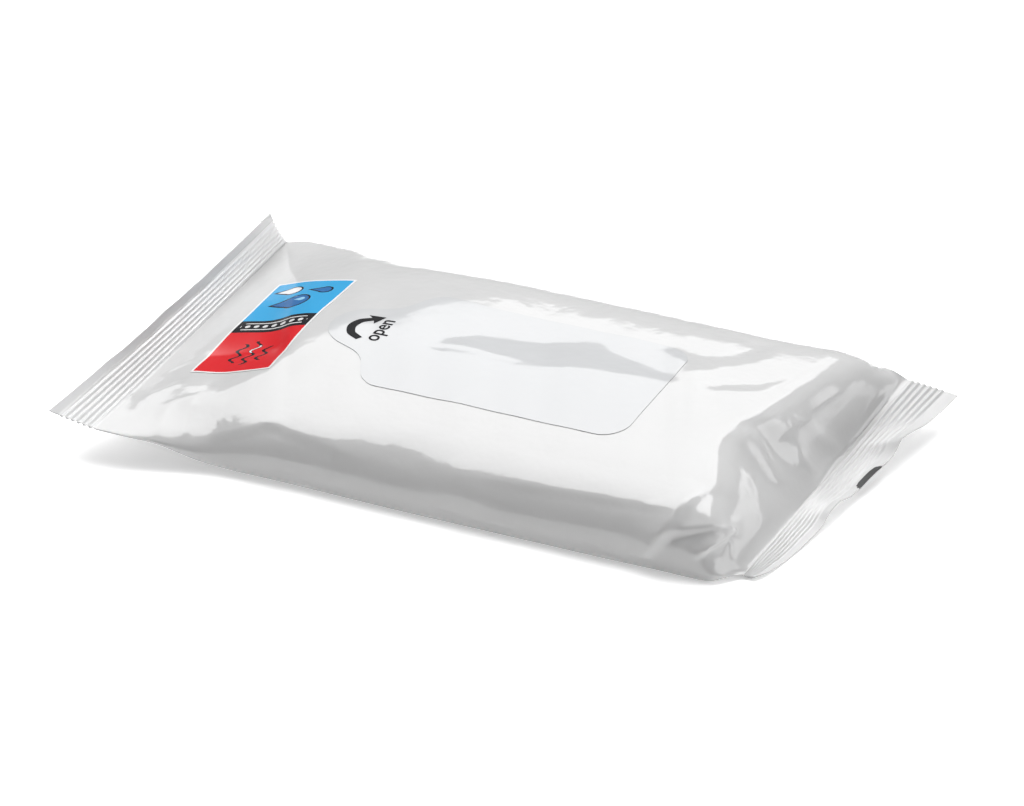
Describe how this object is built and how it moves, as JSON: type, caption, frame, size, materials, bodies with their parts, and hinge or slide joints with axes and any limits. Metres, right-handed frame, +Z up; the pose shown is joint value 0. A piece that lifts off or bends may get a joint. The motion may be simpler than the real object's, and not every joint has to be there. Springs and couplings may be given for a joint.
{
  "type": "wet wipes travel pack",
  "caption": "Sealed white film pouch of wet wipes lying flat, with crimped end seals, a peel-open label with a pull tab and a small printed sticker.",
  "frame": {"origin": "on the surface the pack rests on, under the middle of its overall box", "axes": "+X along the pack, from the end with the printed sticker towards the other end seal; +Y across the pack, away from the viewer of the picture; +Z up out of the labelled face"},
  "size_m": [0.1504, 0.0842, 0.0172],
  "materials": {
    "film": "glossy",
    "label": "glossy",
    "sticker": "glossy"
  },
  "bodies": {
    "root": {"wipes_pouch": "film", "reseal_label": "label", "printed_sticker": "sticker"}
  },
  "joints": []
}
